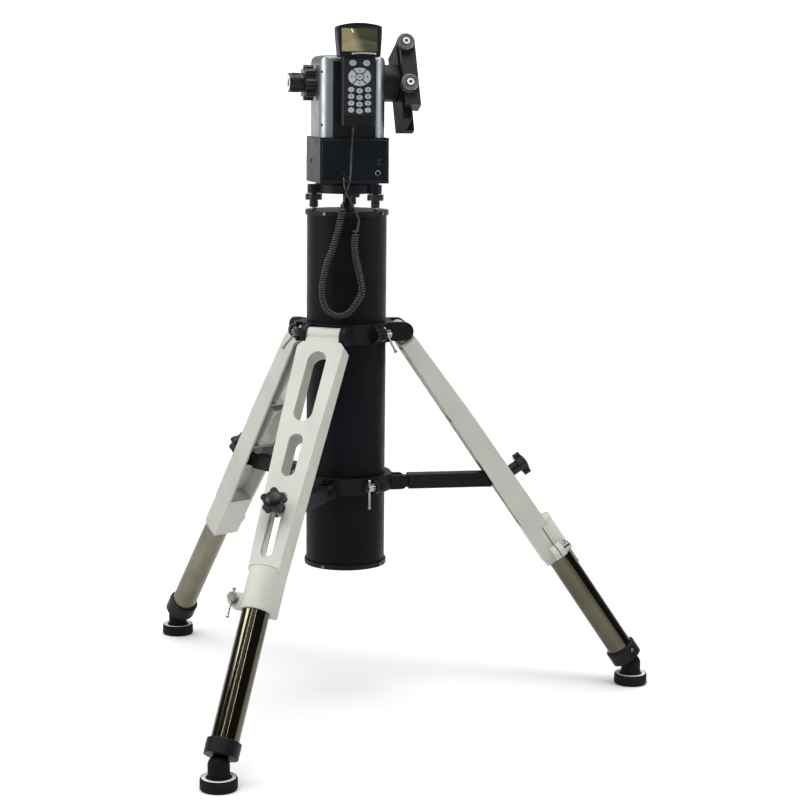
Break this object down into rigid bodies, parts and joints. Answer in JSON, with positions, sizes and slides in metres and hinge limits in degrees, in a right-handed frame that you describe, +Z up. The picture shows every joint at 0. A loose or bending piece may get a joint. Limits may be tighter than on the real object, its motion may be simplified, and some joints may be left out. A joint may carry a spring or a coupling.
{
  "type": "telescope mount",
  "caption": "Alt-azimuth telescope mount: motor head with dovetail saddle and wired hand controller on a tubular pier with braced folding legs.",
  "frame": {"origin": "on the floor under the axis of the pier column", "axes": "+Z up along the pier axis, -Y towards the viewer who reads the handset"},
  "size_m": [1.0144, 1.0731, 1.3102],
  "materials": {
    "black_paint": "satin black paint",
    "white_casting": "smooth white powder coat",
    "chrome_tube": "polished",
    "zinc_screws": "bright zinc",
    "black_plastic": "fine grain",
    "foot_rubber": "matt",
    "black_box": "fine texture black",
    "silver_tower": "satin silver",
    "dark_anodised": "black anodised",
    "grey_aluminium": "turned",
    "screen": "glossy olive display",
    "key_rubber": "light grey silicone",
    "cord_cover": "smooth black"
  },
  "bodies": {
    "pier": {"pier_tube": "black_paint", "pier_top_cap": "black_paint", "pier_bottom_cap": "black_paint", "cap_screws": "zinc_screws", "upper_collar": "black_paint", "lower_collar": "black_paint", "hinge_pins": "zinc_screws", "collar_clamp_screws": "zinc_screws", "levelling_plate": "black_paint", "azimuth_spindle": "dark_anodised"},
    "leg_1": {"leg_casting_1": "white_casting"},
    "lower_leg_1": {"leg_tube_1": "chrome_tube", "tube_boot_1": "black_plastic"},
    "foot_1": {"foot_1": "foot_rubber"},
    "strut_1": {"strut_1": "black_paint"},
    "shoe_1": {"slot_shoe_1": "zinc_screws"},
    "knob_1": {"star_knob_1": "black_plastic"},
    "leg_clamp_1": {"leg_clamp_screw_1": "zinc_screws"},
    "levelling_screw_1": {"levelling_screw_1": "black_plastic"},
    "leg_2": {"leg_casting_2": "white_casting"},
    "lower_leg_2": {"leg_tube_2": "chrome_tube", "tube_boot_2": "black_plastic"},
    "foot_2": {"foot_2": "foot_rubber"},
    "strut_2": {"strut_2": "black_paint"},
    "shoe_2": {"slot_shoe_2": "zinc_screws"},
    "knob_2": {"star_knob_2": "black_plastic"},
    "leg_clamp_2": {"leg_clamp_screw_2": "zinc_screws"},
    "levelling_screw_2": {"levelling_screw_2": "black_plastic"},
    "leg_3": {"leg_casting_3": "white_casting"},
    "lower_leg_3": {"leg_tube_3": "chrome_tube", "tube_boot_3": "black_plastic"},
    "foot_3": {"foot_3": "foot_rubber"},
    "strut_3": {"strut_3": "black_paint"},
    "shoe_3": {"slot_shoe_3": "zinc_screws"},
    "knob_3": {"star_knob_3": "black_plastic"},
    "leg_clamp_3": {"leg_clamp_screw_3": "zinc_screws"},
    "levelling_screw_3": {"levelling_screw_3": "black_plastic"},
    "head": {"base_box": "black_box", "tower_shell": "silver_tower", "tower_cover": "black_plastic", "handset_body": "black_plastic", "handset_screen": "screen", "handset_keypad": "key_rubber", "cord_top_lead": "cord_cover", "cord_coil": "cord_cover", "cord_plug_lead": "cord_cover", "cord_plug": "black_plastic"},
    "power_rocker": {"power_rocker": "black_plastic"},
    "altitude": {"altitude_shaft": "zinc_screws", "counterweight_socket": "dark_anodised", "altitude_hub": "dark_anodised", "saddle_plate": "dark_anodised"},
    "clutch_wheel": {"clutch_wheel": "dark_anodised"},
    "saddle_jaw": {"saddle_jaw": "dark_anodised"},
    "saddle_knob_upper": {"saddle_knob_upper": "grey_aluminium"},
    "saddle_knob_lower": {"saddle_knob_lower": "grey_aluminium"},
    "key_up": {"key_up": "key_rubber"},
    "key_right": {"key_right": "key_rubber"},
    "key_down": {"key_down": "key_rubber"},
    "key_left": {"key_left": "key_rubber"}
  },
  "joints": [
    {"name": "leg_fold_1", "type": "hinge", "parent": "pier", "child": "leg_1", "pos_m": [0.10481, 0.01585, 0.73], "axis": [-0.1495, 0.9888, 0], "range_deg": [0, 12]},
    {"name": "strut_turn_1", "type": "hinge", "parent": "pier", "child": "strut_1", "pos_m": [0.1058, 0.016, 0.4305], "axis": [-0.1495, 0.9888, 0], "range_deg": [0, 36]},
    {"name": "shoe_turn_1", "type": "hinge", "parent": "strut_1", "child": "shoe_1", "pos_m": [0.30606, 0.04629, 0.4305], "axis": [-0.1495, 0.9888, 0], "range_deg": [-24, 0]},
    {"name": "star_knob_turn_1", "type": "hinge", "parent": "shoe_1", "child": "knob_1", "pos_m": [0.34695, 0.05247, 0.4586], "axis": [0.8178, 0.1237, 0.5621], "range_deg": [0, 360]},
    {"name": "leg_clamp_turn_1", "type": "hinge", "parent": "leg_1", "child": "leg_clamp_1", "pos_m": [0.43904, 0.02392, 0.29888], "axis": [0.8178, 0.1237, 0.5621], "range_deg": [-180, 0]},
    {"name": "leg_slide_1", "type": "slide", "parent": "leg_1", "child": "lower_leg_1", "axis": [0.5558, 0.0841, -0.8271], "range_m": [0, 0.03]},
    {"name": "foot_tilt_1", "type": "hinge", "parent": "lower_leg_1", "child": "foot_1", "pos_m": [0.58146, 0.08794, 0.042], "axis": [-0.1495, 0.9888, 0], "range_deg": [-5, 5]},
    {"name": "levelling_screw_turn_1", "type": "hinge", "parent": "pier", "child": "levelling_screw_1", "pos_m": [-0.06305, -0.02547, 0.986], "axis": [0, 0, 1], "range_deg": [-180, 180]},
    {"name": "leg_fold_2", "type": "hinge", "parent": "pier", "child": "leg_2", "pos_m": [-0.06613, 0.08284, 0.73], "axis": [-0.7815, -0.6239, 0], "range_deg": [0, 12]},
    {"name": "strut_turn_2", "type": "hinge", "parent": "pier", "child": "strut_2", "pos_m": [-0.06675, 0.08362, 0.4305], "axis": [-0.7815, -0.6239, 0], "range_deg": [0, 36]},
    {"name": "shoe_turn_2", "type": "hinge", "parent": "strut_2", "child": "shoe_2", "pos_m": [-0.19312, 0.24191, 0.4305], "axis": [-0.7815, -0.6239, 0], "range_deg": [-24, 0]},
    {"name": "star_knob_turn_2", "type": "hinge", "parent": "shoe_2", "child": "knob_2", "pos_m": [-0.21892, 0.27423, 0.4586], "axis": [-0.516, 0.6464, 0.5621], "range_deg": [0, 360]},
    {"name": "leg_clamp_turn_2", "type": "hinge", "parent": "leg_2", "child": "leg_clamp_2", "pos_m": [-0.24023, 0.36826, 0.29888], "axis": [-0.516, 0.6464, 0.5621], "range_deg": [-180, 0]},
    {"name": "leg_slide_2", "type": "slide", "parent": "leg_2", "child": "lower_leg_2", "axis": [-0.3507, 0.4393, -0.8271], "range_m": [0, 0.03]},
    {"name": "foot_tilt_2", "type": "hinge", "parent": "lower_leg_2", "child": "foot_2", "pos_m": [-0.36689, 0.45959, 0.042], "axis": [-0.7815, -0.6239, 0], "range_deg": [-5, 5]},
    {"name": "levelling_screw_turn_2", "type": "hinge", "parent": "pier", "child": "levelling_screw_2", "pos_m": [0.05359, -0.04186, 0.986], "axis": [0, 0, 1], "range_deg": [-180, 180]},
    {"name": "leg_fold_3", "type": "hinge", "parent": "pier", "child": "leg_3", "pos_m": [-0.03868, -0.09869, 0.73], "axis": [0.9311, -0.3649, 0], "range_deg": [0, 12]},
    {"name": "strut_turn_3", "type": "hinge", "parent": "pier", "child": "strut_3", "pos_m": [-0.03904, -0.09962, 0.4305], "axis": [0.9311, -0.3649, 0], "range_deg": [0, 36]},
    {"name": "shoe_turn_3", "type": "hinge", "parent": "strut_3", "child": "shoe_3", "pos_m": [-0.11294, -0.2882, 0.4305], "axis": [0.9311, -0.3649, 0], "range_deg": [-24, 0]},
    {"name": "star_knob_turn_3", "type": "hinge", "parent": "shoe_3", "child": "knob_3", "pos_m": [-0.12803, -0.3267, 0.4586], "axis": [-0.3018, -0.7701, 0.5621], "range_deg": [0, 360]},
    {"name": "leg_clamp_turn_3", "type": "hinge", "parent": "leg_3", "child": "leg_clamp_3", "pos_m": [-0.1988, -0.39218, 0.29888], "axis": [-0.3018, -0.7701, 0.5621], "range_deg": [-180, 0]},
    {"name": "leg_slide_3", "type": "slide", "parent": "leg_3", "child": "lower_leg_3", "axis": [-0.2051, -0.5233, -0.8271], "range_m": [0, 0.03]},
    {"name": "foot_tilt_3", "type": "hinge", "parent": "lower_leg_3", "child": "foot_3", "pos_m": [-0.21457, -0.54753, 0.042], "axis": [0.9311, -0.3649, 0], "range_deg": [-5, 5]},
    {"name": "levelling_screw_turn_3", "type": "hinge", "parent": "pier", "child": "levelling_screw_3", "pos_m": [0.00946, 0.06734, 0.986], "axis": [0, 0, 1], "range_deg": [-180, 180]},
    {"name": "azimuth_turn", "type": "hinge", "parent": "pier", "child": "head", "pos_m": [0, 0, 1.0135], "axis": [0, 0, 1], "continuous": true},
    {"name": "power_rocker_turn", "type": "hinge", "parent": "head", "child": "power_rocker", "pos_m": [0.05838, -0.05082, 1.0545], "axis": [-0.9763, -0.2164, 0], "range_deg": [0, 12]},
    {"name": "altitude_turn", "type": "hinge", "parent": "head", "child": "altitude", "pos_m": [0, 0, 1.2], "axis": [0.9763, 0.2164, 0], "range_deg": [-80, 110]},
    {"name": "clutch_turn", "type": "hinge", "parent": "altitude", "child": "clutch_wheel", "pos_m": [-0.0742, -0.01645, 1.2], "axis": [0.9763, 0.2164, 0], "range_deg": [0, 90]},
    {"name": "jaw_slide", "type": "slide", "parent": "altitude", "child": "saddle_jaw", "axis": [0.1962, -0.8848, 0.4226], "range_m": [0, 0.004]},
    {"name": "saddle_knob_turn_upper", "type": "hinge", "parent": "saddle_jaw", "child": "saddle_knob_upper", "pos_m": [0.10887, -0.00367, 1.27666], "axis": [0.1962, -0.8848, 0.4226], "range_deg": [0, 360]},
    {"name": "saddle_knob_turn_lower", "type": "hinge", "parent": "saddle_jaw", "child": "saddle_knob_lower", "pos_m": [0.11656, -0.03833, 1.20053], "axis": [0.1962, -0.8848, 0.4226], "range_deg": [0, 360]},
    {"name": "key_up_press", "type": "slide", "parent": "head", "child": "key_up", "axis": [-0.2164, 0.9763, 0], "range_m": [0, 0.001], "stiffness_N_per_m": 1500},
    {"name": "key_right_press", "type": "slide", "parent": "head", "child": "key_right", "axis": [-0.2164, 0.9763, 0], "range_m": [0, 0.001], "stiffness_N_per_m": 1500},
    {"name": "key_down_press", "type": "slide", "parent": "head", "child": "key_down", "axis": [-0.2164, 0.9763, 0], "range_m": [0, 0.001], "stiffness_N_per_m": 1500},
    {"name": "key_left_press", "type": "slide", "parent": "head", "child": "key_left", "axis": [-0.2164, 0.9763, 0], "range_m": [0, 0.001], "stiffness_N_per_m": 1500}
  ],
  "couplings": [
    {"joint": "strut_turn_1", "follows": "leg_fold_1", "ratio": 2.86},
    {"joint": "shoe_turn_1", "follows": "leg_fold_1", "ratio": -1.86},
    {"joint": "strut_turn_2", "follows": "leg_fold_2", "ratio": 2.86},
    {"joint": "shoe_turn_2", "follows": "leg_fold_2", "ratio": -1.86},
    {"joint": "strut_turn_3", "follows": "leg_fold_3", "ratio": 2.86},
    {"joint": "shoe_turn_3", "follows": "leg_fold_3", "ratio": -1.86}
  ]
}
